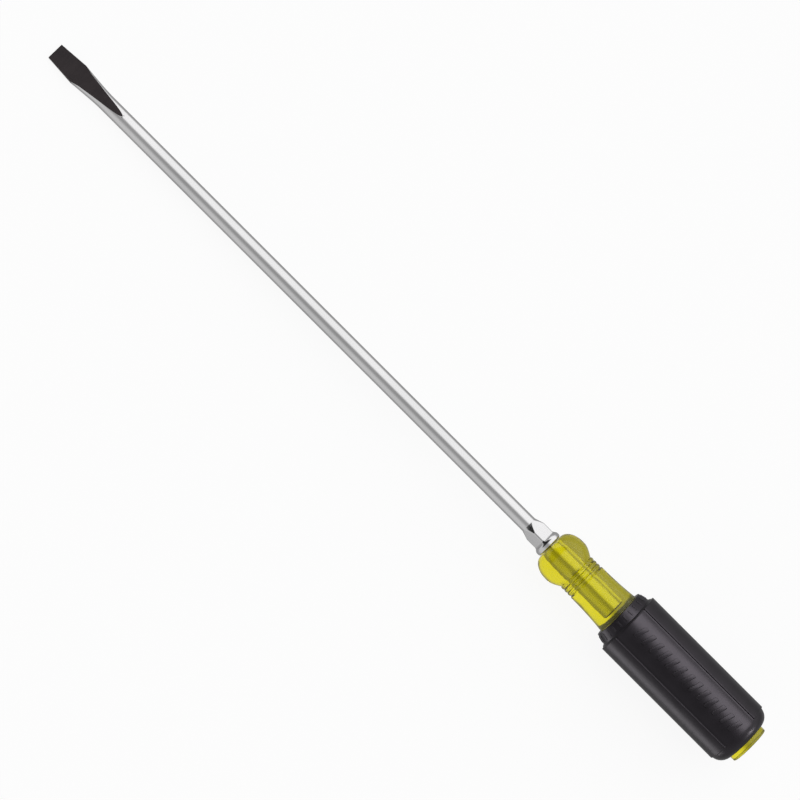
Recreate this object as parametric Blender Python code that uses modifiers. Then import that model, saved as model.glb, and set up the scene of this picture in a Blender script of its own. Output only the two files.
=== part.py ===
"""A long slotted screwdriver: a keystone blade with a square bolster, in a clear handle with a soft sleeve.

The tool lies along X. The origin is the middle of the blade's end face, and +X runs to the butt. The
blade's two ground faces look up and down. Angles about the tool's axis start at +Z and grow towards +Y.
"""

import math

import bmesh
import bpy

MM = 0.001

# Clearance between touching pieces.
GAP = 0.3 * MM

# Blade: a round bar, forged wide at its end, then ground to a keystone.
SHANK_RADIUS = 3.85 * MM
TIP_WIDTH = 8.05 * MM
TIP_THICKNESS = 1.1 * MM
KEYSTONE_WIDTH = 9.75 * MM
KEYSTONE_X = 13.9 * MM
SPREAD_START = 11.3 * MM
SPREAD_END = 32.3 * MM
SPREAD_HALF_WIDTH = 5.05 * MM
SPREAD_HALF_HEIGHT = 3.81 * MM
SQUARED_START = 10.0 * MM
SQUARED_END = 18.7 * MM
SQUARED_POWER = 8.5
GRIND_SLOPE = 0.0835
GRIND_STRAIGHT_END = 28.0 * MM
GRIND_RUNOUT_SLOPE = 0.061
GRIND_END = 41.6 * MM

# Bolster: a turned boss behind a hollow shoulder, milled square, then a round flange.
BOLSTER_RADIUS = 5.2 * MM
BOLSTER_FLATS = 7.94 * MM
BOLSTER_CORNER_ANGLE = math.radians(-19)
SHOULDER_START_X = 291.7 * MM
SHOULDER_END_X = 296.0 * MM
SHOULDER_POWER = 1.05
FLAT_END_X = 300.7 * MM
FLAT_FILLET = 1.4 * MM
FLARE_START_X = 300.9 * MM
FLARE_END_X = 303.3 * MM
FLANGE_CREST_END_X = 303.9 * MM
FLANGE_BACK = 305.0 * MM
FLANGE_RADIUS = 6.35 * MM
FLANGE_FACE_RADIUS = 5.6 * MM

# Tang, inside the handle, with a chamfered end.
TANG_CHAMFER_X = 344.1 * MM
TANG_END = 344.6 * MM
TANG_END_RADIUS = 3.35 * MM

# Handle core. Its lengths are counted from the back of the flange.
CORE_FACE_RADIUS = 6.2 * MM
BULB_RADIUS = 11.55 * MM
BULB_FRONT_LENGTH = 8.2 * MM
BULB_CREST_END = 9.8 * MM
BULB_END = 15.9 * MM
BULB_BACK_POWER = 1.6
NECK_RADIUS = 8.95 * MM
BEAD_COUNT = 3
BEAD_LENGTH = 1.94 * MM
BEAD_HEIGHT = 0.45 * MM
BEAD_SECTION = ((0.25, 0.8), (0.5, 1.0), (0.75, 0.8), (1.0, 0.0))  # parts of its length and height
GROOVE_LENGTH = 0.4 * MM
BODY_START = 22.5 * MM
BODY_RADIUS = 9.5 * MM
BODY_END_RADIUS = 10.55 * MM
BODY_POWER = 2.2
CORE_SHOULDER_X = 415.0 * MM
DISC_START_X = 421.0 * MM
DISC_RADIUS = 9.45 * MM
DISC_CHAMFER = 0.4 * MM
BUTT_X = 428.0 * MM
KEY_START_X = 360.0 * MM
KEY_END_X = 410.0 * MM
KEY_WIDTH = 3.0 * MM
KEY_RADIUS = 11.8 * MM
KEY_ROOT_RADIUS = 9.0 * MM

# Sleeve.
SLEEVE_FRONT_X = 346.9 * MM
COLLAR_FRONT_RADIUS = 12.5 * MM
COLLAR_BACK_RADIUS = 13.75 * MM
COLLAR_BACK_X = 351.9 * MM
COLLAR_EDGE = 0.25 * MM
COLLAR_EDGE_RISE = 0.05 * MM
PANEL_RADIUS = 15.15 * MM
PANEL_START_X = 353.4 * MM
REAR_START_X = 419.4 * MM
REAR_END_X = 425.2 * MM
LOBE_COUNT = 3
LOBE_RADIUS = 15.8 * MM
LOBE_SPAN = math.radians(51.6)
LOBE_START_X = 352.4 * MM
LOBE_END_X = 419.9 * MM
LOBE_ROOT_RADIUS = 13.0 * MM
LOBE_EDGE = 0.2 * MM
PANEL_ANGLE = math.radians(-6.6)

# Raised marks moulded on the sleeve: slanted bars on each panel, ticks round the collar.
BAR_COUNT = 13
BAR_FIRST_X = 358.6 * MM
BAR_LAST_X = 415.8 * MM
BAR_WIDTH = 2.3 * MM
BAR_LENGTH = 6.2 * MM
BAR_SLANT = 1.8 * MM
BAR_HEIGHT = 0.5 * MM
BAR_OFFSET_ANGLE = math.radians(2.0)
TICK_COUNT = 24
TICK_WIDTH = 0.8 * MM
TICK_START_X = 347.9 * MM
TICK_END_X = 350.9 * MM
TICK_HEIGHT = 0.25 * MM
MARK_DEPTH = 0.8 * MM
MARK_END_HEIGHT = 0.5  # part of a bar's height, at its ends

# Facets round each turned piece, and the steps along its curves.
BLADE_SIDES = 32
CORE_SIDES = 40
SLEEVE_SIDES = 60
GRIND_STEPS = 4
FILLET_STEPS = 4
SHOULDER_STEPS = 5
FLARE_STEPS = 5
FLANGE_STEPS = 4
BULB_STEPS = 7
BULB_BACK_STEPS = 6
BODY_STEPS = 4
COLLAR_STEP_TURNS = (0.35, 0.75, 1.2, math.pi / 2)
REAR_STEPS = 6
LOBE_STEPS = 8
BAR_STEPS = 4

# A point of the bar nearer its axis than this part of its radius stays there when it is forged.
AXIS_PART = 0.01

# How far the cutters of the blade stand clear of it.
CUTTER_START_X = -5.0 * MM
CUTTER_REACH = 9.0 * MM

# Rings along the forged end of the bar, in millimetres from its end.
SHANK_STATIONS = (3, 6, 9, 11, 13, 15, 17, 19, 21.5, 24, 28, 32)

parts = None
helpers = None


def clear_scene():
    for obj in list(bpy.data.objects):
        bpy.data.objects.remove(obj, do_unlink=True)


def new_collection(name):
    collection = bpy.data.collections.new(name)
    bpy.context.scene.collection.children.link(collection)
    return collection


def material(name, color, metallic, roughness, transmission=0.0):
    result = bpy.data.materials.new(name)
    result.use_nodes = True
    shader = result.node_tree.nodes["Principled BSDF"]
    shader.inputs["Base Color"].default_value = (*color, 1.0)
    shader.inputs["Metallic"].default_value = metallic
    shader.inputs["Roughness"].default_value = roughness
    shader.inputs["Transmission Weight"].default_value = transmission
    result.diffuse_color = (*color, 1.0)
    return result


def new_object(name, mesh, collection):
    obj = bpy.data.objects.new(name, mesh)
    collection.objects.link(obj)
    if collection == helpers:
        obj.hide_render = True
        obj.display_type = "WIRE"
    return obj


def smoothstep(value):
    value = min(max(value, 0.0), 1.0)
    return value * value * (3.0 - 2.0 * value)


def around(x, radius, angle):
    return (x, radius * math.sin(angle), radius * math.cos(angle))


def s_curve(start, end, steps):
    """(x, radius) points from start to end, level with the axis at both."""
    points = []
    for i in range(steps + 1):
        part = i / steps
        blend = (1 - math.cos(math.pi * part)) / 2
        x = start[0] + (end[0] - start[0]) * part
        points.append((x, start[1] + (end[1] - start[1]) * blend))
    return points


def quarter(crest, foot, steps):
    """(x, radius) points of a quarter ellipse: level with the axis at its crest, square to it at its foot."""
    points = []
    for i in range(steps + 1):
        turn = math.pi / 2 * i / steps
        x = crest[0] + (foot[0] - crest[0]) * math.sin(turn)
        points.append((x, foot[1] + (crest[1] - foot[1]) * math.cos(turn)))
    return points


def turned(name, profile, sides, collection, closed=False, turn=0.0):
    """A turned piece. The profile is (x, radius) points that run from the butt to the tip outside."""
    edges = [(i, i + 1) for i in range(len(profile) - 1)]
    if closed:
        edges.append((len(profile) - 1, 0))
    mesh = bpy.data.meshes.new(name)
    mesh.from_pydata([around(x, radius, turn) for x, radius in profile], edges, [])
    obj = new_object(name, mesh, collection)
    screw = obj.modifiers.new("Turn", "SCREW")
    screw.axis = "X"
    screw.steps = sides
    screw.render_steps = sides
    screw.use_merge_vertices = True
    screw.merge_threshold = 0.000001
    return obj


def baked(obj, collection):
    """The object's evaluated mesh, as a plain mesh object of the same name."""
    bpy.context.view_layer.update()
    graph = bpy.context.evaluated_depsgraph_get()
    mesh = bpy.data.meshes.new_from_object(obj.evaluated_get(graph))
    name = obj.name
    bpy.data.objects.remove(obj, do_unlink=True)
    return new_object(name, mesh, collection)


def combine(obj, other, operation):
    boolean = obj.modifiers.new(operation.title(), "BOOLEAN")
    boolean.operation = operation
    boolean.solver = "EXACT"
    boolean.object = other


def add_loft(bm, loops):
    """A closed solid through loops of equal length, capped at both ends."""
    rings = [[bm.verts.new(point) for point in loop] for loop in loops]
    count = len(rings[0])
    for ring, after in zip(rings, rings[1:]):
        for i in range(count):
            j = (i + 1) % count
            bm.faces.new((ring[i], ring[j], after[j], after[i]))
    bm.faces.new(rings[0])
    bm.faces.new(rings[-1])


def solid_from(name, solids, collection):
    """One object from a list of lofts, each a list of loops."""
    bm = bmesh.new()
    for loops in solids:
        add_loft(bm, loops)
    bmesh.ops.recalc_face_normals(bm, faces=bm.faces)
    mesh = bpy.data.meshes.new(name)
    bm.to_mesh(mesh)
    bm.free()
    return new_object(name, mesh, collection)


def finish(obj, paint, sharp_angle):
    obj.data.materials.append(paint)
    smooth = obj.modifiers.new("Weighted", "WEIGHTED_NORMAL")
    smooth.keep_sharp = True
    obj.data.shade_smooth()
    obj.data.set_sharp_from_angle(angle=sharp_angle)


# --- Blade ---------------------------------------------------------------------------------------


def ground_height(x):
    """Height of the ground face above the axis: straight, then easing out to the bar's surface."""
    straight = min(x, GRIND_STRAIGHT_END)
    height = TIP_THICKNESS / 2 + GRIND_SLOPE * straight
    if x > GRIND_STRAIGHT_END:
        past = x - GRIND_STRAIGHT_END
        ease = (GRIND_SLOPE - GRIND_RUNOUT_SLOPE) / (2 * (GRIND_END - GRIND_STRAIGHT_END))
        height += GRIND_SLOPE * past - ease * past * past
    return height


def forged(y, z, x):
    """Where a point of the round bar goes when its end is hammered wide."""
    spread = smoothstep((SPREAD_END - x) / (SPREAD_END - SPREAD_START))
    half_width = SHANK_RADIUS + (SPREAD_HALF_WIDTH - SHANK_RADIUS) * spread
    half_height = SHANK_RADIUS + (SPREAD_HALF_HEIGHT - SHANK_RADIUS) * spread
    squared = min(max((SQUARED_END - x) / (SQUARED_END - SQUARED_START), 0.0), 1.0)
    power = 2.0 + (SQUARED_POWER - 2.0) * squared * squared
    side, up = y / SHANK_RADIUS, z / SHANK_RADIUS
    radius = math.hypot(side, up)
    if radius < AXIS_PART:
        return y, z
    exponent = 2.0 / power
    new_y = half_width * math.copysign(abs(side / radius) ** exponent, side) * radius
    new_z = half_height * math.copysign(abs(up / radius) ** exponent, up) * radius
    return new_y, new_z


def make_bar():
    """Shank, flange and tang in one turned bar, with its end forged wide."""
    crest = (FLANGE_CREST_END_X, FLANGE_RADIUS)
    profile = [
        (TANG_END, 0.0),
        (TANG_END, TANG_END_RADIUS),
        (TANG_CHAMFER_X, SHANK_RADIUS),
        (FLANGE_BACK, SHANK_RADIUS),
    ]
    profile += reversed(quarter(crest, (FLANGE_BACK, FLANGE_FACE_RADIUS), FLANGE_STEPS))
    flare_end = (FLARE_END_X, FLANGE_RADIUS)
    profile += s_curve(flare_end, (FLARE_START_X, BOLSTER_RADIUS), FLARE_STEPS)
    for i in range(SHOULDER_STEPS + 1):
        part = 1 - i / SHOULDER_STEPS
        x = SHOULDER_START_X + (SHOULDER_END_X - SHOULDER_START_X) * part
        rise = (BOLSTER_RADIUS - SHANK_RADIUS) * part**SHOULDER_POWER
        profile.append((x, SHANK_RADIUS + rise))
    profile += [(station * MM, SHANK_RADIUS) for station in reversed(SHANK_STATIONS)]
    profile += [(0.0, SHANK_RADIUS), (0.0, 0.0)]
    bar = baked(turned("blade", profile, BLADE_SIDES, parts), parts)
    for vertex in bar.data.vertices:
        if vertex.co.x < SPREAD_END:
            vertex.co.y, vertex.co.z = forged(vertex.co.y, vertex.co.z, vertex.co.x)
    return bar


def paired_cutter(name, line, angle):
    """What is ground away on two opposite sides. The line is (x, height) points of the new surface.

    The angle is the way that one of the two surfaces faces.
    """
    side, up = math.sin(angle), math.cos(angle)
    solids = []
    for sign in (-1, 1):
        loops = []
        for across in (-CUTTER_REACH, CUTTER_REACH):
            loop = []
            for x, height in line:
                height *= sign
                loop.append((x, height * side - across * up, height * up + across * side))
            loops.append(loop)
        solids.append(loops)
    return solid_from(name, solids, helpers)


def face_cutter():
    """What the wheel takes off the blade's two faces."""
    line = [(CUTTER_START_X, ground_height(CUTTER_START_X))]
    for i in range(GRIND_STEPS + 1):
        x = GRIND_STRAIGHT_END + (GRIND_END - GRIND_STRAIGHT_END) * i / GRIND_STEPS
        line.append((x, ground_height(x)))
    line += [(GRIND_END, CUTTER_REACH), (CUTTER_START_X, CUTTER_REACH)]
    return paired_cutter("face_cutter", line, 0.0)


def edge_cutter():
    """What the wheel takes off the two edges of the keystone."""
    slope = (KEYSTONE_WIDTH - TIP_WIDTH) / 2 / KEYSTONE_X
    end = SPREAD_END / 2
    line = [(x, TIP_WIDTH / 2 + slope * x) for x in (CUTTER_START_X, end)]
    line += [(end, CUTTER_REACH), (CUTTER_START_X, CUTTER_REACH)]
    return paired_cutter("edge_cutter", line, math.pi / 2)


def flat_cutter(name, angle):
    """What the mill takes off two opposite flats of the bolster, with its own corner radius."""
    height = BOLSTER_FLATS / 2
    line = [(SHOULDER_START_X - FLAT_FILLET, height)]
    for i in range(FILLET_STEPS + 1):
        turn = math.pi / 2 * i / FILLET_STEPS
        x = FLAT_END_X + FLAT_FILLET * math.sin(turn)
        line.append((x, height + FLAT_FILLET * (1 - math.cos(turn))))
    line += [(line[-1][0], CUTTER_REACH), (line[0][0], CUTTER_REACH)]
    return paired_cutter(name, line, angle)


def make_blade():
    bar = make_bar()
    flat_angle = BOLSTER_CORNER_ANGLE + math.pi / 4
    combine(bar, flat_cutter("first_flat_cutter", flat_angle), "DIFFERENCE")
    combine(bar, flat_cutter("second_flat_cutter", flat_angle + math.pi / 2), "DIFFERENCE")
    combine(bar, face_cutter(), "DIFFERENCE")
    combine(bar, edge_cutter(), "DIFFERENCE")
    steel = material("polished_steel", color=(0.72, 0.72, 0.73), metallic=1.0, roughness=0.16)
    finish(bar, steel, sharp_angle=math.radians(25))
    return bar


# --- Handle core ---------------------------------------------------------------------------------


def core_outline():
    """(x, radius) points of the core's outside, from the flange to the sleeve."""
    front = FLANGE_BACK + GAP
    crest = (front + BULB_FRONT_LENGTH, BULB_RADIUS)
    crest_end = (FLANGE_BACK + BULB_CREST_END, BULB_RADIUS)
    points = list(reversed(quarter(crest, (front, CORE_FACE_RADIUS), BULB_STEPS)))
    bead_start = FLANGE_BACK + BULB_END
    for i in range(BULB_BACK_STEPS + 1):
        part = i / BULB_BACK_STEPS
        x = crest_end[0] + (bead_start - crest_end[0]) * part
        points.append((x, BULB_RADIUS - (BULB_RADIUS - NECK_RADIUS) * part**BULB_BACK_POWER))
    for bead in range(BEAD_COUNT):
        for part, height in BEAD_SECTION:
            x = bead_start + (bead + part) * BEAD_LENGTH
            points.append((x, NECK_RADIUS + BEAD_HEIGHT * height))
    groove_end = bead_start + BEAD_COUNT * BEAD_LENGTH + GROOVE_LENGTH / 2
    points.append((groove_end, NECK_RADIUS))
    body_start = FLANGE_BACK + BODY_START
    for i in range(BODY_STEPS + 1):
        part = i / BODY_STEPS
        x = body_start + (SLEEVE_FRONT_X - body_start) * part
        points.append((x, BODY_RADIUS + (BODY_END_RADIUS - BODY_RADIUS) * part**BODY_POWER))
    return points


def make_core():
    bore = SHANK_RADIUS + GAP
    outside = core_outline() + [
        (CORE_SHOULDER_X, BODY_END_RADIUS),
        (DISC_START_X, DISC_RADIUS),
        (BUTT_X - DISC_CHAMFER, DISC_RADIUS),
        (BUTT_X, DISC_RADIUS - DISC_CHAMFER),
        (BUTT_X, 0.0),
    ]
    inside = [
        (FLANGE_BACK + GAP, bore),
        (TANG_CHAMFER_X + GAP / 2, bore),
        (TANG_END + GAP, TANG_END_RADIUS + GAP / 2),
        (TANG_END + GAP, 0.0),
    ]
    core = turned("handle_core", list(reversed(outside)) + inside, CORE_SIDES, parts)
    combine(core, make_keys("core_keys", 0.0, helpers), "UNION")
    plastic = material(
        "clear_yellow", color=(0.80, 0.72, 0.05), metallic=0.0, roughness=0.08, transmission=0.9
    )
    finish(core, plastic, sharp_angle=math.radians(35))
    return core


def lobe_angle(index):
    """The middle of a lobe. The panels lie between the lobes."""
    return PANEL_ANGLE + math.pi / LOBE_COUNT + index * 2 * math.pi / LOBE_COUNT


def make_keys(name, clearance, collection):
    """Long ribs under the lobes that stop the sleeve from turning on the core."""
    solids = []
    half = KEY_WIDTH / 2 + clearance
    for index in range(LOBE_COUNT):
        angle = lobe_angle(index)
        loops = []
        for x in (KEY_START_X - clearance, KEY_END_X + clearance):
            loop = []
            for side, height in (
                (-half, KEY_ROOT_RADIUS),
                (half, KEY_ROOT_RADIUS),
                (half, KEY_RADIUS + clearance),
                (-half, KEY_RADIUS + clearance),
            ):
                loop.append(around(x, math.hypot(side, height), angle + math.atan2(side, height)))
            loops.append(loop)
        solids.append(loops)
    return solid_from(name, solids, collection)


# --- Cushion sleeve ------------------------------------------------------------------------------


def sleeve_outline():
    """(x, radius) points of the sleeve's outside, from the collar to the rounded rear."""
    bore = DISC_RADIUS + GAP
    points = [
        (SLEEVE_FRONT_X, COLLAR_FRONT_RADIUS - COLLAR_EDGE),
        (SLEEVE_FRONT_X + COLLAR_EDGE, COLLAR_FRONT_RADIUS + COLLAR_EDGE_RISE),
        (COLLAR_BACK_X, COLLAR_BACK_RADIUS),
    ]
    step_length = PANEL_START_X - COLLAR_BACK_X
    step_height = PANEL_RADIUS - COLLAR_BACK_RADIUS
    for turn in COLLAR_STEP_TURNS:
        x = COLLAR_BACK_X + step_length * (1 - math.cos(turn))
        points.append((x, COLLAR_BACK_RADIUS + step_height * math.sin(turn)))
    return points + quarter((REAR_START_X, PANEL_RADIUS), (REAR_END_X, bore), REAR_STEPS)


def make_lobes():
    """Three raised bands along the sleeve, each an arc in section with eased edges."""
    solids = []
    for index in range(LOBE_COUNT):
        middle = lobe_angle(index)
        loops = []
        for x, drop in (
            (LOBE_START_X, LOBE_EDGE),
            (LOBE_START_X + LOBE_EDGE, 0.0),
            (LOBE_END_X - LOBE_EDGE, 0.0),
            (LOBE_END_X, LOBE_EDGE),
        ):
            top = LOBE_RADIUS - drop
            ease = LOBE_EDGE / LOBE_RADIUS
            first = middle - LOBE_SPAN / 2
            loop = [around(x, top - LOBE_EDGE, first)]
            for i in range(LOBE_STEPS + 1):
                angle = first + ease + (LOBE_SPAN - 2 * ease) * i / LOBE_STEPS
                loop.append(around(x, top, angle))
            loop.append(around(x, top - LOBE_EDGE, first + LOBE_SPAN))
            loop.append(around(x, LOBE_ROOT_RADIUS, first + LOBE_SPAN))
            loop.append(around(x, LOBE_ROOT_RADIUS, middle))
            loop.append(around(x, LOBE_ROOT_RADIUS, first))
            loops.append(loop)
        solids.append(loops)
    return solids


def raised_mark(x, angle, radius, width, length, slant, height):
    """A bar laid across the sleeve, curved with it and eased at its ends."""
    loops = []
    for i in range(BAR_STEPS + 1):
        part = i / BAR_STEPS
        top = radius + height * (MARK_END_HEIGHT if i in (0, BAR_STEPS) else 1.0)
        across = angle + (part - 0.5) * length / radius
        middle = x + (part - 0.5) * slant
        loops.append(
            [
                around(middle - width / 2, radius - MARK_DEPTH, across),
                around(middle + width / 2, radius - MARK_DEPTH, across),
                around(middle + width / 2, top, across),
                around(middle - width / 2, top, across),
            ]
        )
    return loops


def make_panel_bars():
    solids = []
    pitch = (BAR_LAST_X - BAR_FIRST_X) / (BAR_COUNT - 1)
    for panel in range(LOBE_COUNT):
        angle = PANEL_ANGLE + BAR_OFFSET_ANGLE + panel * 2 * math.pi / LOBE_COUNT
        for i in range(BAR_COUNT):
            solids.append(
                raised_mark(
                    BAR_FIRST_X + i * pitch,
                    angle,
                    PANEL_RADIUS,
                    BAR_WIDTH,
                    BAR_LENGTH,
                    BAR_SLANT,
                    BAR_HEIGHT,
                )
            )
    return solids


def make_collar_ticks():
    """Short raised ticks along the collar's cone."""
    solids = []
    slope = (COLLAR_BACK_RADIUS - COLLAR_FRONT_RADIUS) / (COLLAR_BACK_X - SLEEVE_FRONT_X)
    for index in range(TICK_COUNT):
        angle = PANEL_ANGLE + 2 * math.pi * index / TICK_COUNT
        loops = []
        for x in (TICK_START_X, TICK_END_X):
            surface = COLLAR_FRONT_RADIUS + slope * (x - SLEEVE_FRONT_X)
            half = TICK_WIDTH / 2 / surface
            low, high = surface - MARK_DEPTH, surface + TICK_HEIGHT
            loops.append(
                [
                    around(x, low, angle - half),
                    around(x, low, angle + half),
                    around(x, high, angle + half),
                    around(x, high, angle - half),
                ]
            )
        solids.append(loops)
    return solids


def make_sleeve():
    inside = [
        (SLEEVE_FRONT_X, BODY_END_RADIUS + GAP),
        (CORE_SHOULDER_X, BODY_END_RADIUS + GAP),
        (DISC_START_X, DISC_RADIUS + GAP),
    ]
    profile = list(reversed(sleeve_outline())) + inside
    sleeve = turned("cushion_grip", profile, SLEEVE_SIDES, parts, closed=True, turn=PANEL_ANGLE)
    relief = make_lobes() + make_panel_bars() + make_collar_ticks()
    raised = solid_from("sleeve_relief", relief, helpers)
    combine(sleeve, raised, "UNION")
    combine(sleeve, make_keys("sleeve_keyways", GAP, helpers), "DIFFERENCE")
    rubber = material("soft_black", color=(0.035, 0.033, 0.037), metallic=0.0, roughness=0.5)
    finish(sleeve, rubber, sharp_angle=math.radians(30))


def main():
    global parts, helpers
    clear_scene()
    parts = new_collection("screwdriver")
    helpers = new_collection("cutters")
    make_blade()
    make_core()
    make_sleeve()


main()
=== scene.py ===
"""The looks of a long slotted screwdriver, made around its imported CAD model.

The tool lies along X, with the middle of the blade's end face at the origin and the butt at +X. The
blade's ground faces look up and down. Angles about the axis start at +Z and grow towards +Y. Lengths are
in millimetres until a mesh or a light is made from them.
"""

import math

import bmesh
import bpy
from mathutils import Matrix, Vector


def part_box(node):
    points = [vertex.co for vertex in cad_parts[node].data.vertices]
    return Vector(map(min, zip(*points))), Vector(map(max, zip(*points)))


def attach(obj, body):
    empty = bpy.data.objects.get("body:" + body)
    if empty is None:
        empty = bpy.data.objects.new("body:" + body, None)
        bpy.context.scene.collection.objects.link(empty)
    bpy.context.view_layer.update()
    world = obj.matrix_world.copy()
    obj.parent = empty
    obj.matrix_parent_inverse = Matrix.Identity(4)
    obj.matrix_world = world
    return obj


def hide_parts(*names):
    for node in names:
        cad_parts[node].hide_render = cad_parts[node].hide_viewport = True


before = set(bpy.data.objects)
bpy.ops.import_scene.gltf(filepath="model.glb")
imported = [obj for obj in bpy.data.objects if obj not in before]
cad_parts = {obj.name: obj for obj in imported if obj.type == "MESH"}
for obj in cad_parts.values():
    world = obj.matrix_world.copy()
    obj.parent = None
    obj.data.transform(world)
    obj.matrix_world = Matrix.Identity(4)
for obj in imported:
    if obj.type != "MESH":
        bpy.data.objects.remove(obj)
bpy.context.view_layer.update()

MM = 0.001


def box_mm(node):
    low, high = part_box(node)
    return low / MM, high / MM


blade_low, blade_high = box_mm("blade")
core_low, core_high = box_mm("handle_core")
sleeve_low, sleeve_high = box_mm("cushion_grip")

# --- Blade ---------------------------------------------------------------------------------------

TIP_X = blade_low.x
TANG_END_X = blade_high.x
SHANK_RADIUS = 3.85

# The end of the bar is forged wide, then ground on both faces and both edges.
TIP_HALF_WIDTH = 4.025
TIP_HALF_THICKNESS = 0.55
EDGE_SLOPE = 0.0612
EDGE_GROUND_END = 17.0
SPREAD_START = 11.3
SPREAD_END = 32.3
SPREAD_HALF_WIDTH = 5.05
SPREAD_HALF_HEIGHT = 3.81
SQUARED_START = 10.0
SQUARED_END = 18.7
SQUARED_POWER = 8.5
GRIND_SLOPE = 0.0835
GRIND_STRAIGHT_END = 28.0
GRIND_RUNOUT_SLOPE = 0.061
GRIND_END = 41.6
END_EASE = 0.12
CORNER_EASE = 0.10

# Behind the shank come a turned boss with a hollow shoulder, milled square, and a round flange.
GAP = 0.3
FLANGE_BACK_X = core_low.x - GAP
SHOULDER_START_X = FLANGE_BACK_X - 13.3
SHOULDER_END_X = FLANGE_BACK_X - 9.0
SHOULDER_POWER = 1.05
BOLSTER_RADIUS = 5.2
FLAT_HEIGHT = 3.97
FLAT_END_X = FLANGE_BACK_X - 4.3
FLARE_START_X = FLANGE_BACK_X - 4.1
FLAT_FILLET = 1.4
FLAT_WALL_SLOPE = 6.0
FLARE_END_X = FLANGE_BACK_X - 1.7
FLANGE_CREST_END_X = FLANGE_BACK_X - 1.1
FLANGE_RADIUS = 6.35
FLANGE_FACE_RADIUS = 5.6
BOLSTER_CORNER_ANGLE = -19.0
TANG_CHAMFER_X = TANG_END_X - 0.5
TANG_END_RADIUS = 3.35

# --- Handle core ---------------------------------------------------------------------------------

CORE_FRONT_X = core_low.x
BUTT_X = core_high.x
CORE_FACE_RADIUS = 6.2
BULB_RADIUS = 11.55
BULB_FRONT_LENGTH = 8.2
BULB_CREST_END_X = FLANGE_BACK_X + 9.8
BULB_END_X = FLANGE_BACK_X + 15.9
BULB_BACK_POWER = 1.6
NECK_RADIUS = 8.95
BEAD_COUNT = 3
BEAD_LENGTH = 1.94
BEAD_HEIGHT = 0.45
GROOVE_LENGTH = 0.4
BODY_START_X = FLANGE_BACK_X + 22.5
BODY_RADIUS = 9.5
BODY_END_RADIUS = 10.55
BODY_POWER = 2.2
DISC_RADIUS = 9.45
DISC_LENGTH = 7.0
DISC_SHOULDER_LENGTH = 13.0
DISC_EDGE = 0.5

# --- Cushion sleeve ------------------------------------------------------------------------------

SLEEVE_FRONT_X = sleeve_low.x
SLEEVE_REAR_X = sleeve_high.x
COLLAR_FRONT_RADIUS = 12.5
COLLAR_BACK_RADIUS = 13.75
COLLAR_BACK_X = SLEEVE_FRONT_X + 5.0
COLLAR_EDGE = 0.25
PANEL_RADIUS = 15.15
PANEL_START_X = SLEEVE_FRONT_X + 6.5
REAR_START_X = SLEEVE_REAR_X - 5.8
LOBE_COUNT = 3
LOBE_RADIUS = 15.8
LOBE_HALF_SPAN = 25.8
LOBE_START_X = SLEEVE_FRONT_X + 5.5
LOBE_END_X = SLEEVE_REAR_X - 5.3
PANEL_ANGLE = -6.6

# Raised marks: slanted bars on the panels and ticks round the collar.
BAR_COUNT = 13
BAR_FIRST_X = SLEEVE_FRONT_X + 11.7
BAR_LAST_X = SLEEVE_REAR_X - 9.4
BAR_WIDTH = 2.3
BAR_LENGTH = 6.2
BAR_SLANT = 1.8
BAR_HEIGHT = 0.5
BAR_OFFSET_ANGLE = 2.0
TICK_COUNT = 24
TICK_WIDTH = 0.8
TICK_START_X = SLEEVE_FRONT_X + 1.0
TICK_END_X = SLEEVE_FRONT_X + 4.0
TICK_HEIGHT = 0.25

# How deep a part seen through the clear plastic sits in the plastic, so that no film of air lies between.
BEDDING = 0.02


def smoothstep(value):
    value = min(max(value, 0.0), 1.0)
    return value * value * (3.0 - 2.0 * value)


def mix(first, second, part):
    return first + (second - first) * part


def steps_between(first, second, count):
    """count values after first, evenly spaced, the last one being second."""
    return [mix(first, second, (i + 1) / count) for i in range(count)]


def around(x, radius, angle):
    """A point at this angle in degrees about the tool's axis."""
    turn = math.radians(angle)
    return (x, radius * math.sin(turn), radius * math.cos(turn))


def s_curve(start, end, steps):
    """(x, radius) points from start to end, level with the axis at both."""
    points = []
    for i in range(steps + 1):
        part = i / steps
        blend = (1 - math.cos(math.pi * part)) / 2
        points.append((mix(start[0], end[0], part), mix(start[1], end[1], blend)))
    return points


def quarter(crest, foot, steps):
    """(x, radius) points of a quarter ellipse, level with the axis at crest and square to it at foot."""
    points = []
    for i in range(steps + 1):
        turn = math.pi / 2 * i / steps
        x = mix(crest[0], foot[0], math.sin(turn))
        points.append((x, mix(foot[1], crest[1], math.cos(turn))))
    return points


def rounded(points, size, steps=5, sharpest=12.0, closed=False):
    """The same outline, with each corner that turns more than sharpest degrees eased over this size."""
    count = len(points)
    result = []
    for i in range(count):
        here = Vector(points[i])
        before = Vector(points[i - 1]) - here
        after = Vector(points[(i + 1) % count]) - here
        end = not closed and i in (0, count - 1)
        if end or math.degrees(math.pi - before.angle(after)) < sharpest:
            result.append(tuple(here))
            continue
        start = here + before.normalized() * min(size, before.length * 0.45)
        stop = here + after.normalized() * min(size, after.length * 0.45)
        for j in range(steps + 1):
            part = j / steps
            result.append(tuple(start.lerp(here, part).lerp(here.lerp(stop, part), part)))
    return result


def mesh_object(name, points, faces):
    mesh = bpy.data.meshes.new(name)
    mesh.from_pydata([(x * MM, y * MM, z * MM) for x, y, z in points], [], faces)
    bm = bmesh.new()
    bm.from_mesh(mesh)
    bmesh.ops.recalc_face_normals(bm, faces=bm.faces)
    bm.to_mesh(mesh)
    bm.free()
    obj = bpy.data.objects.new(name, mesh)
    bpy.context.scene.collection.objects.link(obj)
    return obj


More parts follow.
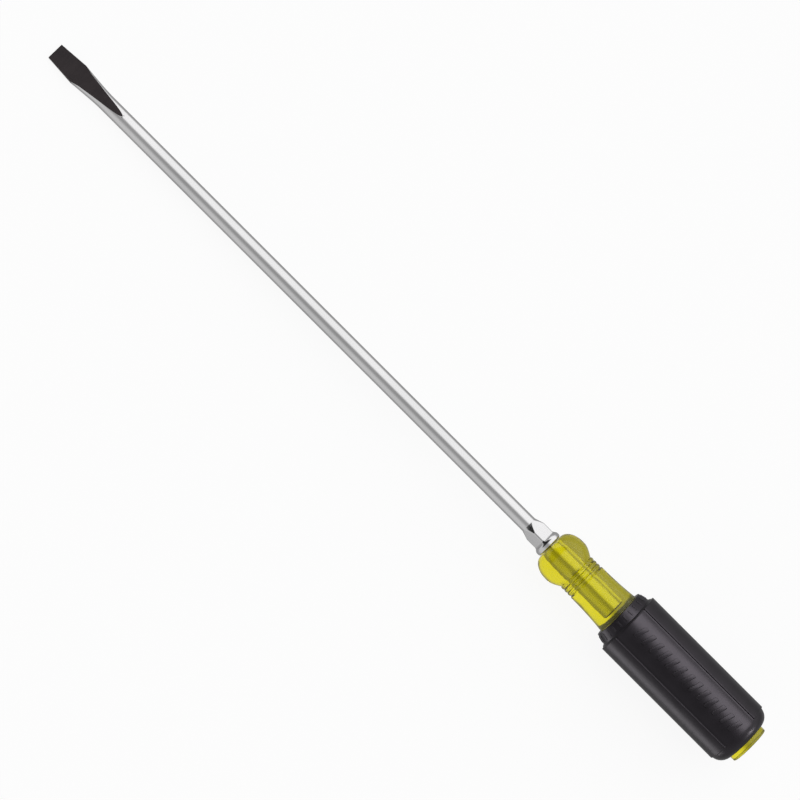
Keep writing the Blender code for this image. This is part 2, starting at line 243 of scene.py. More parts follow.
def skin(name, rings, closed=False):
    """A solid through rings of points. Its ends are capped, or joined to each other when it is closed."""
    count = len(rings[0])
    points = [point for ring in rings for point in ring]
    faces = []
    spans = len(rings) if closed else len(rings) - 1
    for i in range(spans):
        here = i * count
        there = (i + 1) % len(rings) * count
        for k in range(count):
            n = (k + 1) % count
            faces.append((here + k, there + k, there + n, here + n))
    if not closed:
        for ring, base in ((rings[0], 0), (rings[-1], len(points) - count)):
            centre = [sum(point[axis] for point in ring) / count for axis in range(3)]
            points.append(centre)
            hub = len(points) - 1
            faces += [(base + k, base + (k + 1) % count, hub) for k in range(count)]
    return mesh_object(name, points, faces)


def smooth(obj, sharp_angle):
    obj.data.shade_smooth()
    obj.data.set_sharp_from_angle(angle=math.radians(sharp_angle))


# --- Building the blade --------------------------------------------------------------------------

FACE_COLUMNS = 20
QUARTER_COLUMNS = 32
BLADE_COLUMNS = 4 * QUARTER_COLUMNS
EVEN_CORNER = 90.0 * FACE_COLUMNS / QUARTER_COLUMNS
BOLSTER_FIRST_COLUMN = 25
RELAX_LENGTH = 12.0
TURN_LENGTH = 8.0
KEYSTONE_START = 12.0
KEYSTONE_END = 15.0
RUNOUT_FINE = 1.5
TINY = 1e-6


def ground_height(x):
    """Height of the ground face above the axis: straight, then easing out to the bar's surface."""
    straight = min(x, GRIND_STRAIGHT_END)
    height = TIP_HALF_THICKNESS + GRIND_SLOPE * straight
    if x > GRIND_STRAIGHT_END:
        past = x - GRIND_STRAIGHT_END
        ease = (GRIND_SLOPE - GRIND_RUNOUT_SLOPE) / (2 * (GRIND_END - GRIND_STRAIGHT_END))
        height += GRIND_SLOPE * past - ease * past * past
    return height


def runout_x():
    """Where the ground face meets the top of the round shank."""
    low, high = GRIND_STRAIGHT_END, GRIND_END
    for _ in range(40):
        middle = (low + high) / 2
        if ground_height(middle) < SHANK_RADIUS:
            low = middle
        else:
            high = middle
    return low


RUNOUT_X = runout_x()


def forged_radius(x, side, up):
    """The forged bar's radius towards (side, up), before grinding."""
    spread = smoothstep((SPREAD_END - x) / (SPREAD_END - SPREAD_START))
    half_width = mix(SHANK_RADIUS, SPREAD_HALF_WIDTH, spread)
    half_height = mix(SHANK_RADIUS, SPREAD_HALF_HEIGHT, spread)
    squared = min(max((SQUARED_END - x) / (SQUARED_END - SQUARED_START), 0.0), 1.0)
    power = mix(2.0, SQUARED_POWER, squared * squared)
    return ((side / half_width) ** power + (up / half_height) ** power) ** (-1 / power)


def edge_radius(x, side):
    """Radius of the ground edge's plane, or far away where the edges aren't ground."""
    if x > EDGE_GROUND_END or side == 0:
        return math.inf
    return (TIP_HALF_WIDTH + EDGE_SLOPE * x) / side


def face_corner(x):
    """The angle at which the ground face ends, from the middle of the face."""
    low, high = 0.0, 90.0
    for _ in range(40):
        middle = (low + high) / 2
        side, up = math.sin(math.radians(middle)), math.cos(math.radians(middle))
        if ground_height(x) / up < min(forged_radius(x, side, up), edge_radius(x, side)):
            low = middle
        else:
            high = middle
    return low


def eased_min(first, second, ease):
    """The smaller of two radii, with the corner between them rounded a little."""
    if math.inf in (first, second):
        return min(first, second)
    overlap = max(ease - abs(first - second), 0.0) / ease
    return min(first, second) - overlap * overlap * ease / 4


def tip_angles(x):
    """The ring's angles over the forged end: columns run along the corners of the ground faces."""
    if x < RUNOUT_X:
        corner, even = face_corner(x), 0.0
    else:
        even = smoothstep((x - RUNOUT_X) / RELAX_LENGTH)
        corner = EVEN_CORNER * even
    first = []
    side_columns = QUARTER_COLUMNS - FACE_COLUMNS
    for k in range(QUARTER_COLUMNS):
        if k <= FACE_COLUMNS:
            part = k / FACE_COLUMNS
            first.append(corner * mix(math.sin(math.pi / 2 * part), part, even))
        else:
            part = (QUARTER_COLUMNS - k) / side_columns
            first.append(90.0 - (90.0 - corner) * mix(math.sin(math.pi / 2 * part), part, even))
    second = [180.0 - angle for angle in reversed(first[1:])]
    half = first + [90.0] + second
    return half + [180.0 + angle for angle in half]


def bolster_angles(x):
    """The ring's angles over the bolster: columns run along its four corners."""
    turn = smoothstep((x - (SHOULDER_START_X - TURN_LENGTH)) / TURN_LENGTH)
    angles = []
    for k in range(BLADE_COLUMNS):
        past = k - BOLSTER_FIRST_COLUMN
        side = past // QUARTER_COLUMNS
        part = past / QUARTER_COLUMNS - side
        dense = (1 - math.cos(math.pi * part)) / 2
        squared = BOLSTER_CORNER_ANGLE + 90.0 * (1 + side + mix(part, dense, 0.8))
        angles.append(mix(360.0 * k / BLADE_COLUMNS, squared, turn))
    return angles


def flat_height(x):
    """Height of the bolster's flats above the axis."""
    if x < SHOULDER_START_X:
        return FLAT_HEIGHT + 0.25 * (SHOULDER_START_X - x)
    past = max(x - FLAT_END_X, 0.0)
    if past < FLAT_FILLET:
        return FLAT_HEIGHT + FLAT_FILLET - math.sqrt(FLAT_FILLET**2 - past**2)
    return FLAT_HEIGHT + FLAT_FILLET + FLAT_WALL_SLOPE * (past - FLAT_FILLET)


def tip_ring(x):
    along = min(x - TIP_X, END_EASE)
    inset = END_EASE - math.sqrt(END_EASE**2 - (END_EASE - along) ** 2)
    ring = []
    for angle in tip_angles(x):
        side = abs(math.sin(math.radians(angle)))
        up = max(abs(math.cos(math.radians(angle))), TINY)
        radius = forged_radius(x, side, up)
        radius = eased_min(radius, edge_radius(x, side) - inset, CORNER_EASE)
        if x < RUNOUT_X:
            radius = eased_min(radius, (ground_height(x) - inset) / up, CORNER_EASE)
        ring.append(around(x, radius, angle))
    return ring


def bolster_ring(x, turned_radius):
    ring = []
    first_flat = BOLSTER_CORNER_ANGLE + 45.0
    for angle in bolster_angles(x):
        off = (angle - first_flat + 45.0) % 90.0 - 45.0
        flat = flat_height(x) / math.cos(math.radians(off))
        ring.append(around(x, eased_min(turned_radius, flat, CORNER_EASE), angle))
    return ring


def tip_stations():
    stations = [TIP_X + END_EASE * part for part in (0.0, 0.08, 0.25, 0.55, 1.0)]
    stations += steps_between(stations[-1], KEYSTONE_START, 40)
    stations += steps_between(KEYSTONE_START, KEYSTONE_END, 24)
    stations += steps_between(KEYSTONE_END, RUNOUT_X - RUNOUT_FINE, 80)
    stations += [RUNOUT_X - RUNOUT_FINE * (1 - part) ** 2 for part in steps_between(0, 1, 10)]
    stations += steps_between(RUNOUT_X, RUNOUT_X + RELAX_LENGTH, 16)
    return stations


def bolster_profile():
    """(x, radius) points of the turned bar from the shank's end to the back of the flange."""
    turning = steps_between(SHOULDER_START_X - TURN_LENGTH, SHOULDER_START_X, 10)
    profile = [(x, SHANK_RADIUS) for x in turning]
    for part in steps_between(0, 1, 24):
        x = mix(SHOULDER_START_X, SHOULDER_END_X, part)
        profile.append((x, mix(SHANK_RADIUS, BOLSTER_RADIUS, part**SHOULDER_POWER)))
    profile += [(x, BOLSTER_RADIUS) for x in steps_between(SHOULDER_END_X, FLARE_START_X, 12)]
    profile += s_curve((FLARE_START_X, BOLSTER_RADIUS), (FLARE_END_X, FLANGE_RADIUS), 28)[1:]
    crest = (FLANGE_CREST_END_X, FLANGE_RADIUS)
    return profile + quarter(crest, (FLANGE_BACK_X, FLANGE_FACE_RADIUS), 16)


def tang_profile():
    corners = [
        (FLANGE_BACK_X, FLANGE_FACE_RADIUS),
        (FLANGE_BACK_X, SHANK_RADIUS),
        (TANG_CHAMFER_X, SHANK_RADIUS),
        (TANG_END_X, TANG_END_RADIUS),
        (TANG_END_X, TANG_END_RADIUS / 2),
    ]
    return rounded(corners, 0.25)[1:]


def make_blade():
    xs = tip_stations()
    rings = [tip_ring(x) for x in xs]
    shank_end = SHOULDER_START_X - TURN_LENGTH
    even = [360.0 * k / BLADE_COLUMNS for k in range(BLADE_COLUMNS)]
    for x in steps_between(xs[-1], shank_end, 80):
        rings.append([around(x, SHANK_RADIUS, angle) for angle in even])
    rings += [bolster_ring(x, radius) for x, radius in bolster_profile()]
    rings += [[around(x, radius, angle) for angle in bolster_angles(x)] for x, radius in tang_profile()]
    blade = skin("blade_forging", rings)
    smooth(blade, 30)
    blade.data.materials.append(steel_material())
    blade.data.materials.append(black_finish_material())
    for polygon in blade.data.polygons:
        x, y, z = polygon.center / MM
        radius = math.hypot(y, z)
        if x > RUNOUT_X or radius < TINY:
            polygon.material_index = 1 if x < END_EASE else 0
            continue
        side, up = abs(y) / radius, max(abs(z) / radius, TINY)
        ground = min(ground_height(x) / up, edge_radius(x, side))
        polygon.material_index = 1 if x < END_EASE or ground < forged_radius(x, side, up) else 0
    return blade


# --- Building the handle core --------------------------------------------------------------------

CORE_COLUMNS = 160


def core_profile():
    """(x, radius) points from the bottom of the tang's hole, over the outside, to the butt."""
    bore = SHANK_RADIUS - BEDDING
    profile = [
        (TANG_END_X - BEDDING, TANG_END_RADIUS / 2),
        (TANG_END_X - BEDDING, TANG_END_RADIUS),
        (TANG_CHAMFER_X, bore),
    ]
    profile += [(x, bore) for x in steps_between(TANG_CHAMFER_X, CORE_FRONT_X, 6)]
    crest = (CORE_FRONT_X + BULB_FRONT_LENGTH, BULB_RADIUS)
    profile += reversed(quarter(crest, (CORE_FRONT_X, CORE_FACE_RADIUS), 28))
    for part in [0.0] + steps_between(0, 1, 24):
        x = mix(BULB_CREST_END_X, BULB_END_X, part)
        profile.append((x, mix(BULB_RADIUS, NECK_RADIUS, part**BULB_BACK_POWER)))
    for bead in range(BEAD_COUNT):
        for part in steps_between(0, 1, 10):
            height = BEAD_HEIGHT * math.sin(math.pi * part) ** 0.6 if part < 1 else 0.0
            profile.append((BULB_END_X + (bead + part) * BEAD_LENGTH, NECK_RADIUS + height))
    groove_x = BULB_END_X + BEAD_COUNT * BEAD_LENGTH + GROOVE_LENGTH / 2
    profile.append((groove_x, NECK_RADIUS))
    for part in [0.0] + steps_between(0, 1, 20):
        x = mix(BODY_START_X, SLEEVE_FRONT_X, part)
        profile.append((x, mix(BODY_RADIUS, BODY_END_RADIUS, part**BODY_POWER)))
    rear = [
        (BUTT_X - DISC_SHOULDER_LENGTH, BODY_END_RADIUS),
        (BUTT_X - DISC_LENGTH, DISC_RADIUS),
        (BUTT_X, DISC_RADIUS),
        (BUTT_X, 0.5),
    ]
    return profile + rounded(rear, DISC_EDGE, 8)


def make_core():
    angles = [360.0 * k / CORE_COLUMNS for k in range(CORE_COLUMNS)]
    core = skin(
        "handle_core_plastic",
        [[around(x, radius, angle) for angle in angles] for x, radius in core_profile()],
    )
    smooth(core, 35)
    core.data.materials.append(clear_plastic_material())
    return core


# --- Building the cushion sleeve -----------------------------------------------------------------

# The wall and rounded edge of a lobe: (distance in from its foot, part of its height).
LOBE_EDGE = ((-0.10, 0.0), (0.0, 0.06), (0.04, 0.3), (0.08, 0.62), (0.13, 0.83), (0.2, 0.95), (0.3, 1.0))
COLUMN_STEP = 3.0


def lobe_rise(distance):
    """Part of a lobe's height, this far in from its foot."""
    if distance <= LOBE_EDGE[0][0]:
        return 0.0
    for (near, low), (far, high) in zip(LOBE_EDGE, LOBE_EDGE[1:]):
        if distance <= far:
            return mix(low, high, (distance - near) / (far - near))
    return 1.0


def sleeve_angles():
    """The sleeve's columns, with extra ones along the edges of the lobes."""
    edge = [math.degrees(distance / LOBE_RADIUS) for distance, _ in LOBE_EDGE]
    angles = []
    for index in range(LOBE_COUNT):
        middle = lobe_angle(index)
        first, last = middle - LOBE_HALF_SPAN, middle + LOBE_HALF_SPAN
        angles += [first + step for step in edge]
        count = round((2 * LOBE_HALF_SPAN - 2 * edge[-1]) / COLUMN_STEP)
        angles += steps_between(first + edge[-1], last - edge[-1], count)
        angles += [last - step for step in reversed(edge[:-1])]
        panel_start, panel_end = last - edge[0], first + edge[0] + 360.0 / LOBE_COUNT
        angles += steps_between(panel_start, panel_end, round((panel_end - panel_start) / COLUMN_STEP))[:-1]
    return angles


def lobe_angle(index):
    """The middle of a lobe. The panels lie between the lobes."""
    return PANEL_ANGLE + (index + 0.5) * 360.0 / LOBE_COUNT


def sleeve_outside():
    """(x, radius) points of the collar, the panels and the rounded rear."""
    rim = [
        (SLEEVE_FRONT_X, BODY_END_RADIUS + 0.05),
        (SLEEVE_FRONT_X, COLLAR_FRONT_RADIUS),
        (COLLAR_BACK_X, COLLAR_BACK_RADIUS),
        (COLLAR_BACK_X + 0.05, COLLAR_BACK_RADIUS),
    ]
    points = rounded(rim, COLLAR_EDGE, 6)[:-1]
    for part in steps_between(0, 1, 16):
        turn = math.pi / 2 * part
        x = mix(COLLAR_BACK_X, PANEL_START_X, 1 - math.cos(turn))
        points.append((x, mix(COLLAR_BACK_RADIUS, PANEL_RADIUS, math.sin(turn))))
    lobe_marks = [LOBE_START_X + distance for distance, _ in LOBE_EDGE]
    lobe_marks += [LOBE_END_X - distance for distance, _ in LOBE_EDGE]
    rear = quarter((REAR_START_X, PANEL_RADIUS), (SLEEVE_REAR_X, DISC_RADIUS + 0.12), 28)
    points += [(x, PANEL_RADIUS) for x in steps_between(PANEL_START_X, REAR_START_X, 12)]
    points += rear[1:]
    return with_stations(points, lobe_marks)


def with_stations(points, xs):
    """The outline with a point added at each x."""
    result = [points[0]]
    for here, there in zip(points, points[1:]):
        for x in sorted(x for x in xs if here[0] + 1e-4 < x < there[0] - 1e-4):
            result.append((x, mix(here[1], there[1], (x - here[0]) / (there[0] - here[0]))))
        result.append(there)
    return result


def sleeve_radius(x, radius, angle):
    """The sleeve's radius here: the outline's, or the lobe's where one stands on it."""
    nearest = min(abs((angle - lobe_angle(i) + 180.0) % 360.0 - 180.0) for i in range(LOBE_COUNT))
    inside = math.radians(LOBE_HALF_SPAN - nearest) * LOBE_RADIUS
    rise = min(lobe_rise(inside), lobe_rise(x - LOBE_START_X), lobe_rise(LOBE_END_X - x))
    return mix(radius, LOBE_RADIUS, rise)


def sleeve_bore():
    """(x, radius) points of the bore, from the rear to the front. It is bedded in the core's surface."""
    return [
        (BUTT_X - DISC_LENGTH + 0.5, DISC_RADIUS - BEDDING),
        (BUTT_X - DISC_LENGTH, DISC_RADIUS - BEDDING),
        (BUTT_X - DISC_SHOULDER_LENGTH, BODY_END_RADIUS - BEDDING),
        (SLEEVE_FRONT_X + 0.1, BODY_END_RADIUS - BEDDING),
    ]


# Levels of a raised mark: (inset from its outline, part of its height). The first is buried.
MARK_LEVELS = ((-0.04, None), (0.0, 0.0), (0.03, 0.5), (0.07, 0.8), (0.14, 0.96), (0.24, 1.0))
MARK_DEPTH = 0.5
MARK_CORNER = 0.45


def mark_solid(x, angle, radius, size, slant, height):
    """Points and faces of a raised mark. Its size is (round the sleeve, along it), and it leans by slant."""
    half_round, half_along = size[0] / 2, size[1] / 2
    corners = [
        (side * half_round, end * half_along + side * slant / 2)
        for side, end in ((-1, -1), (1, -1), (1, 1), (-1, 1))
    ]
    outline = rounded(corners, MARK_CORNER, 5, closed=True)
    points, faces = [], []
    for inset, part in MARK_LEVELS:
        level = -MARK_DEPTH if part is None else height * part
        for across, along in outline:
            across *= 1 - inset / half_round
            along *= 1 - inset / half_along
            turn = angle + math.degrees(across / radius)
            points.append(around(x + along, radius + level, turn))
    count = len(outline)
    for level in range(len(MARK_LEVELS) - 1):
        for k in range(count):
            n = (k + 1) % count
            base = level * count
            faces.append((base + k, base + n, base + count + n, base + count + k))
    faces.append(tuple(range(count)))
    faces.append(tuple(range(len(points) - count, len(points))))
    return points, faces


def make_marks():
    solids = []
    pitch = (BAR_LAST_X - BAR_FIRST_X) / (BAR_COUNT - 1)
    for panel in range(LOBE_COUNT):
        angle = PANEL_ANGLE + BAR_OFFSET_ANGLE + panel * 360.0 / LOBE_COUNT
        for i in range(BAR_COUNT):
            size = (BAR_LENGTH, BAR_WIDTH)
            solids.append(
                mark_solid(BAR_FIRST_X + i * pitch, angle, PANEL_RADIUS, size, BAR_SLANT, BAR_HEIGHT)
            )
    slope = (COLLAR_BACK_RADIUS - COLLAR_FRONT_RADIUS) / (COLLAR_BACK_X - SLEEVE_FRONT_X)
    middle = (TICK_START_X + TICK_END_X) / 2
    radius = COLLAR_FRONT_RADIUS + slope * (middle - SLEEVE_FRONT_X)
    for index in range(TICK_COUNT):
        angle = PANEL_ANGLE + 360.0 * index / TICK_COUNT
        size = (TICK_WIDTH, TICK_END_X - TICK_START_X)
        points, faces = mark_solid(middle, angle, radius, size, 0.0, TICK_HEIGHT)
        leaned = []
        for x, y, z in points:
            grown = 1 + slope * (x - middle) / math.hypot(y, z)
            leaned.append((x, y * grown, z * grown))
        solids.append((leaned, faces))
    points, faces = [], []
    for solid_points, solid_faces in solids:
        base = len(points)
        points += solid_points
        faces += [tuple(base + corner for corner in face) for face in solid_faces]
    return mesh_object("sleeve_marks", points, faces)


def united(obj, other):
    """obj with the other solid joined to it, as one plain mesh. The other is removed."""
    boolean = obj.modifiers.new("Union", "BOOLEAN")
    boolean.operation = "UNION"
    boolean.solver = "EXACT"
    boolean.object = other
    bpy.context.view_layer.update()
    graph = bpy.context.evaluated_depsgraph_get()
    mesh = bpy.data.meshes.new_from_object(obj.evaluated_get(graph))
    obj.modifiers.clear()
    obj.data = mesh
    bpy.data.objects.remove(other, do_unlink=True)
    return obj


def make_sleeve():
    angles = sleeve_angles()
    rings = []
    for x, radius in sleeve_outside():
        rings.append([around(x, sleeve_radius(x, radius, angle), angle) for angle in angles])
    for x, radius in sleeve_bore():
        rings.append([around(x, radius, angle) for angle in angles])
    sleeve = united(skin("cushion_sleeve", rings, closed=True), make_marks())
    smooth(sleeve, 40)
    sleeve.data.materials.clear()
    sleeve.data.materials.append(rubber_material())
    return sleeve


# --- Materials -----------------------------------------------------------------------------------

# Each pair is the two ends that a slow pattern moves between.
STEEL_COLOURS = ((0.70, 0.70, 0.705), (0.76, 0.755, 0.76))
FINISH_COLOURS = ((0.020, 0.014, 0.016), (0.030, 0.022, 0.024))
RUBBER_COLOURS = ((0.0045, 0.004, 0.0048), (0.0065, 0.0058, 0.007))
RUBBER_SPECULAR = 0.28
RUBBER_TINT = (0.97, 0.88, 1.0, 1.0)
PLASTIC_COLOUR = (0.98, 0.93, 0.08, 1.0)
PLASTIC_CLEARNESS = 0.9
PLASTIC_IOR = 1.48
PLASTIC_SPECULAR = 0.25
# What a metre of the plastic takes from light, through this colour.
PLASTIC_DEPTH_COLOUR = (0.964, 0.951, 0.06, 1.0)
PLASTIC_DENSITY = 300.0


def new_material(name):
    material = bpy.data.materials.new(name)
    material.use_nodes = True
    return material, material.node_tree.nodes["Principled BSDF"]


def add_node(tree, kind, settings=(), **inputs):
    """A new node. Inputs are named with _ for a space, and each is a value or another node's output."""
    node = tree.nodes.new(kind)
    for key, value in dict(settings).items():
        setattr(node, key, value)
    for key, value in inputs.items():
        socket = node.inputs[key.replace("_", " ")]
        if isinstance(value, bpy.types.NodeSocket):
            tree.links.new(value, socket)
        else:
            socket.default_value = value
    return node


def grain(tree, scale, detail=2.0, stretch=(1.0, 1.0, 1.0)):
    """Noise over the object's own coordinates. scale is in cycles a millimetre."""
    place = add_node(tree, "ShaderNodeTexCoord").outputs["Object"]
    mapped = add_node(
        tree, "ShaderNodeMapping", Vector=place, Scale=tuple(scale / MM * part for part in stretch)
    )
    noise = add_node(
        tree, "ShaderNodeTexNoise", Vector=mapped.outputs["Vector"], Scale=1.0, Detail=detail, Roughness=0.5
    )
    return noise.outputs["Fac"]


def ranged(tree, value, low, high, to_low, to_high):
    node = add_node(tree, "ShaderNodeMapRange")
    tree.links.new(value, node.inputs["Value"])
    for key, number in (("From Min", low), ("From Max", high), ("To Min", to_low), ("To Max", to_high)):
        node.inputs[key].default_value = number
    return node.outputs["Result"]


def blended(tree, part, first, second):
    node = tree.nodes.new("ShaderNodeMix")
    node.data_type = "RGBA"
    tree.links.new(part, node.inputs["Factor"])
    node.inputs[6].default_value = (*first, 1.0)
    node.inputs[7].default_value = (*second, 1.0)
    return node.outputs[2]


def bumped(tree, height, distance, under=None):
    """A normal from a height in millimetres."""
    node = add_node(tree, "ShaderNodeBump", Height=height, Distance=distance * MM, Strength=1.0)
    if under is not None:
        tree.links.new(under, node.inputs["Normal"])
    return node.outputs["Normal"]


def steel_material():
    """Chrome-plated steel, polished round its axis, with fine lines and faint smudges."""
    material, shader = new_material("polished_steel")
    tree = material.node_tree
    lines = grain(tree, 2.5, 3.0, (1.0, 0.12, 0.12))
    smudge = grain(tree, 0.06, 3.0, (0.5, 1.0, 1.0))
    shader.inputs["Metallic"].default_value = 1.0
    tree.links.new(
        blended(tree, ranged(tree, smudge, 0.35, 0.65, 0.0, 1.0), *STEEL_COLOURS),
        shader.inputs["Base Color"],
    )
    tree.links.new(ranged(tree, lines, 0.3, 0.7, 0.13, 0.21), shader.inputs["Roughness"])
    tree.links.new(bumped(tree, lines, 0.0015), shader.inputs["Normal"])
    return material


def black_finish_material():
    """The dark finish on the ground end, with the wheel's marks across it."""
    material, shader = new_material("black_oxide")
    tree = material.node_tree
    wheel = grain(tree, 3.0, 3.0, (1.0, 0.05, 0.05))
    patches = grain(tree, 0.15, 4.0)
    shader.inputs["Metallic"].default_value = 0.4
    tree.links.new(
        blended(tree, ranged(tree, patches, 0.3, 0.7, 0.0, 1.0), *FINISH_COLOURS),
        shader.inputs["Base Color"],
    )
    tree.links.new(ranged(tree, wheel, 0.3, 0.7, 0.34, 0.48), shader.inputs["Roughness"])
    tree.links.new(bumped(tree, wheel, 0.004), shader.inputs["Normal"])
    return material


def clear_plastic_material():
    """Clear yellow plastic: coloured by its depth, with faint turning lines on its surface."""
    material, shader = new_material("clear_yellow")
    tree = material.node_tree
    ripple = grain(tree, 0.3, 2.0, (0.12, 1.0, 1.0))
    flow = grain(tree, 0.16, 2.0, (0.45, 1.0, 1.0))
    fine = grain(tree, 2.0, 2.0)
    shader.inputs["Base Color"].default_value = PLASTIC_COLOUR
    shader.inputs["Transmission Weight"].default_value = PLASTIC_CLEARNESS
    shader.inputs["IOR"].default_value = PLASTIC_IOR
    shader.inputs["Specular IOR Level"].default_value = PLASTIC_SPECULAR
    tree.links.new(ranged(tree, fine, 0.3, 0.7, 0.02, 0.06), shader.inputs["Roughness"])
    tree.links.new(bumped(tree, ripple, 0.09, under=bumped(tree, flow, 0.35)), shader.inputs["Normal"])
    depth = add_node(
        tree, "ShaderNodeVolumeAbsorption", Color=PLASTIC_DEPTH_COLOUR, Density=PLASTIC_DENSITY
    )
    output = tree.nodes["Material Output"]
    tree.links.new(depth.outputs["Volume"], output.inputs["Volume"])
    return material


def rubber_material():
    """Satin black moulded rubber with a fine skin."""
    material, shader = new_material("soft_black")
    tree = material.node_tree
    skin_grain = grain(tree, 3.5, 3.0)
    patches = grain(tree, 0.12, 4.0)
    shader.inputs["Specular IOR Level"].default_value = RUBBER_SPECULAR
    shader.inputs["Specular Tint"].default_value = RUBBER_TINT
    tree.links.new(
        blended(tree, ranged(tree, patches, 0.3, 0.7, 0.0, 1.0), *RUBBER_COLOURS),
        shader.inputs["Base Color"],
    )
    tree.links.new(ranged(tree, patches, 0.3, 0.7, 0.30, 0.37), shader.inputs["Roughness"])
    tree.links.new(bumped(tree, skin_grain, 0.012), shader.inputs["Normal"])
    return material


# --- Stage ---------------------------------------------------------------------------------------

CAMERA_LEAN = 10.0
CAMERA_ROLL = 44.992
CAMERA_LENS = 200.0
SENSOR = 36.0
FRAME_WIDTH = 348.59
FRAME_RIGHT = 1.026
FRAME_UP = 0.71

FLOOR_SIZE = 12000.0
FLOOR_GLOW = 0.91
FLOOR_TONE = (0.10, 0.10, 0.10, 1.0)
WHITE = (1.0, 1.0, 1.0, 1.0)


def make_camera():
    lean, roll = math.radians(CAMERA_LEAN), math.radians(CAMERA_ROLL)
    along = Vector((1.0, 0.0, 0.0))
    back = Vector((0.0, -math.sin(lean), math.cos(lean)))
    across = back.cross(along)
    right = along * math.cos(roll) + across * math.sin(roll)
    up = across * math.cos(roll) - along * math.sin(roll)
    middle = along * (TIP_X + BUTT_X) / 2
    aim = middle - right * FRAME_RIGHT - up * FRAME_UP
    data = bpy.data.cameras.new("camera")
    data.lens = CAMERA_LENS
    data.sensor_width = SENSOR
    camera = bpy.data.objects.new("camera", data)
    bpy.context.scene.collection.objects.link(camera)
    turn = Matrix((right, up, back)).transposed().to_4x4()
    distance = FRAME_WIDTH * CAMERA_LENS / SENSOR
    camera.matrix_world = Matrix.Translation((aim + back * distance) * MM) @ turn
    bpy.context.scene.camera = camera


def make_floor():
    """A pale floor, tipped a little, so that the tool rests on its tip and on a lobe of its grip."""
    first = Vector((TIP_X, 0.0, -TIP_HALF_THICKNESS))
    second = Vector((LOBE_START_X, 0.0, -LOBE_RADIUS))
    slope = math.atan2(second.z - first.z, second.x - first.x)
    half = FLOOR_SIZE / 2
    points = [(-half, -half, 0.0), (half, -half, 0.0), (half, half, 0.0), (-half, half, 0.0)]
    floor = mesh_object("floor", points, [(0, 1, 2, 3)])
    floor.matrix_world = Matrix.Translation(first * MM) @ Matrix.Rotation(-slope, 4, "Y")
    material = bpy.data.materials.new("floor")
    material.use_nodes = True
    tree = material.node_tree
    tree.nodes.clear()
    glow = add_node(tree, "ShaderNodeEmission", Color=WHITE, Strength=FLOOR_GLOW)
    paper = add_node(tree, "ShaderNodeBsdfDiffuse", Color=FLOOR_TONE)
    both = tree.nodes.new("ShaderNodeAddShader")
    output = tree.nodes.new("ShaderNodeOutputMaterial")
    tree.links.new(glow.outputs[0], both.inputs[0])
    tree.links.new(paper.outputs[0], both.inputs[1])
    tree.links.new(both.outputs[0], output.inputs["Surface"])
    floor.data.materials.append(material)
    floor.visible_glossy = False
    floor.visible_transmission = False
    floor.visible_shadow = False
    return floor


# The room is dim all round, with broad soft lights: (middle's angle, half width, soft edge, brightness).
ROOM_DIM = 0.37
KEY_LIGHT = (45.0, 30.0, 30.0, 0.78)
FILL_LIGHT = (-85.0, 15.0, 40.0, 0.30)
# A light behind the tool, which shows only through the clear plastic.
BACK_LIGHT = (135.0, 15.0, 20.0, 0.60)
BACKDROP = 0.97

# The screen: how far its directions point along X, its middle's angle, and its half width and edge.
SCREEN_DEPTH = (-0.36, -0.48)
SCREEN_ANGLE = -13.0
SCREEN_SPAN = (46.0, 62.0)
SCREEN_LEVEL = 0.04


def math_node(tree, operation, *values):
    node = add_node(tree, "ShaderNodeMath", {"operation": operation})
    for socket, value in zip(node.inputs, values):
        if isinstance(value, bpy.types.NodeSocket):
            tree.links.new(value, socket)
        else:
            socket.default_value = value
    return node.outputs[0]


def angle_from(tree, turn, middle):
    """How far the direction's angle about the tool's axis is from this one, in radians."""
    aside = math_node(tree, "SUBTRACT", turn, math.radians(middle))
    return math_node(tree, "ABSOLUTE", math_node(tree, "WRAP", aside, math.pi, -math.pi))


def soft_light(tree, turn, middle, half_width, edge, level):
    """What one soft light adds to the room: even over its width, and fading over its edge."""
    node = add_node(tree, "ShaderNodeMapRange", {"interpolation_type": "SMOOTHSTEP"})
    tree.links.new(angle_from(tree, turn, middle), node.inputs["Value"])
    node.inputs["From Min"].default_value = math.radians(half_width)
    node.inputs["From Max"].default_value = math.radians(half_width + edge)
    node.inputs["To Min"].default_value = level
    node.inputs["To Max"].default_value = 0.0
    return node.outputs["Result"]


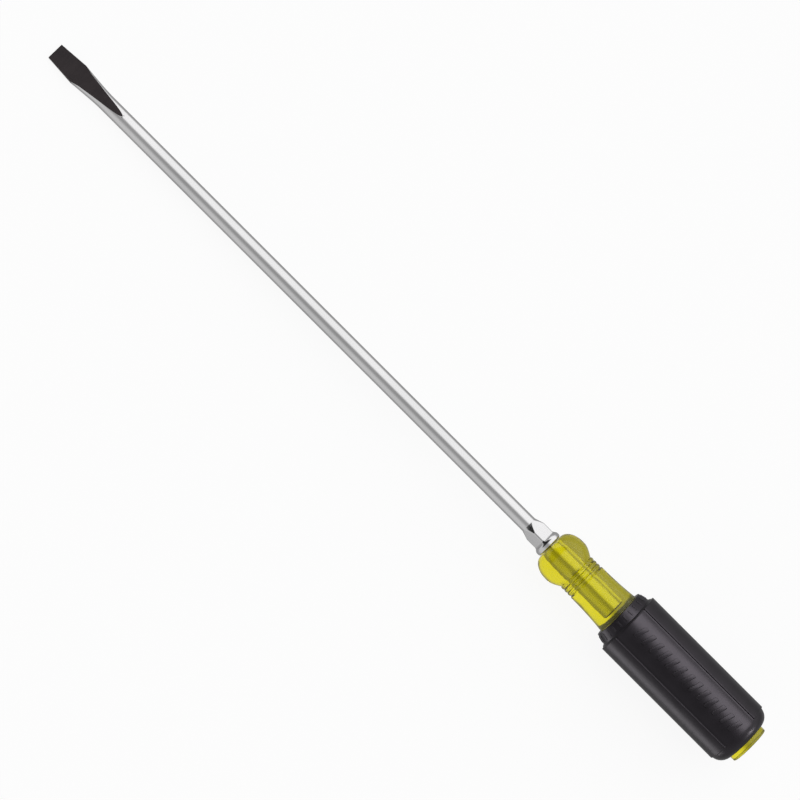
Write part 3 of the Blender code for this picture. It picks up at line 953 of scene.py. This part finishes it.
def make_room():
    """A soft room: bright on one side, dimmer on the other, and plain white where it is seen directly."""
    world = bpy.data.worlds.new("room")
    bpy.context.scene.world = world
    world.use_nodes = True
    tree = world.node_tree
    tree.nodes.clear()
    place = add_node(tree, "ShaderNodeTexCoord").outputs["Generated"]
    split = add_node(tree, "ShaderNodeSeparateXYZ", Vector=place).outputs
    path = add_node(tree, "ShaderNodeLightPath").outputs
    turn = math_node(tree, "ARCTAN2", split["Y"], split["Z"])
    # A dark screen stands at the blade's end of the room.
    forward = ranged(tree, split["X"], *SCREEN_DEPTH, 0.0, 1.0)
    edges = [math.radians(angle) for angle in SCREEN_SPAN]
    inside = ranged(tree, angle_from(tree, turn, SCREEN_ANGLE), *edges, 1.0, 0.0)
    screen = math_node(tree, "MULTIPLY", forward, inside)
    opening = ranged(tree, screen, 0.0, 1.0, 1.0, SCREEN_LEVEL)
    behind = soft_light(tree, turn, *BACK_LIGHT)
    level = math_node(tree, "MULTIPLY", behind, path["Is Transmission Ray"])
    level = math_node(tree, "ADD", level, ROOM_DIM)
    for light in (KEY_LIGHT, FILL_LIGHT):
        level = math_node(tree, "ADD", level, soft_light(tree, turn, *light))
    strength = math_node(tree, "MULTIPLY", level, opening)
    room = add_node(tree, "ShaderNodeBackground", Color=WHITE, Strength=strength)
    plain = add_node(tree, "ShaderNodeBackground", Color=WHITE, Strength=BACKDROP)
    either = tree.nodes.new("ShaderNodeMixShader")
    output = tree.nodes.new("ShaderNodeOutputWorld")
    tree.links.new(path["Is Camera Ray"], either.inputs[0])
    tree.links.new(room.outputs[0], either.inputs[1])
    tree.links.new(plain.outputs[0], either.inputs[2])
    tree.links.new(either.outputs[0], output.inputs["Surface"])


def make_softbox(name, angle, along, distance, size, power):
    """A long softbox parallel to the tool, at this angle about its axis and this far along it."""
    data = bpy.data.lights.new(name, "AREA")
    data.shape = "RECTANGLE"
    data.size, data.size_y = size[0] * MM, size[1] * MM
    data.energy = power
    lamp = bpy.data.objects.new(name, data)
    bpy.context.scene.collection.objects.link(lamp)
    middle = Vector(((TIP_X + BUTT_X) / 2, 0.0, 0.0))
    away = Vector(around(0.0, 1.0, angle))
    place = middle + away * distance + Vector((along, 0.0, 0.0))
    side = Vector((1.0, 0.0, 0.0))
    turn = Matrix((side, away.cross(side), away)).transposed().to_4x4()
    lamp.matrix_world = Matrix.Translation(place * MM) @ turn
    return lamp


def light_only(piece, lamps):
    """Let these lamps light this piece alone."""
    lit = bpy.data.collections.new(piece.name)
    lit.objects.link(piece)
    for lamp in lamps:
        lamp.light_linking.receiver_collection = lit


# Soft lights for the black sleeve: name, angle, distance along, distance away, size and power.
SLEEVE_LIGHTS = (
    ("key", 27.0, 0.0, 1500.0, (1700.0, 1150.0), 30.0),
    ("low", -113.0, 0.0, 1500.0, (1600.0, 600.0), 9.0),
    ("end", 60.7, 1700.0, 700.0, (300.0, 300.0), 16.0),
)

make_camera()
make_floor()
make_room()
sleeve_lights = [make_softbox(*settings) for settings in SLEEVE_LIGHTS]

for make, node, slot in (
    (make_blade, "blade", "polished_steel"),
    (make_core, "handle_core", "clear_yellow"),
    (make_sleeve, "cushion_grip", "soft_black"),
):
    piece = make()
    if node == "cushion_grip":
        light_only(piece, sleeve_lights)
    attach(piece, "root")
    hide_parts(node)

bpy.context.scene.view_settings.view_transform = "Standard"
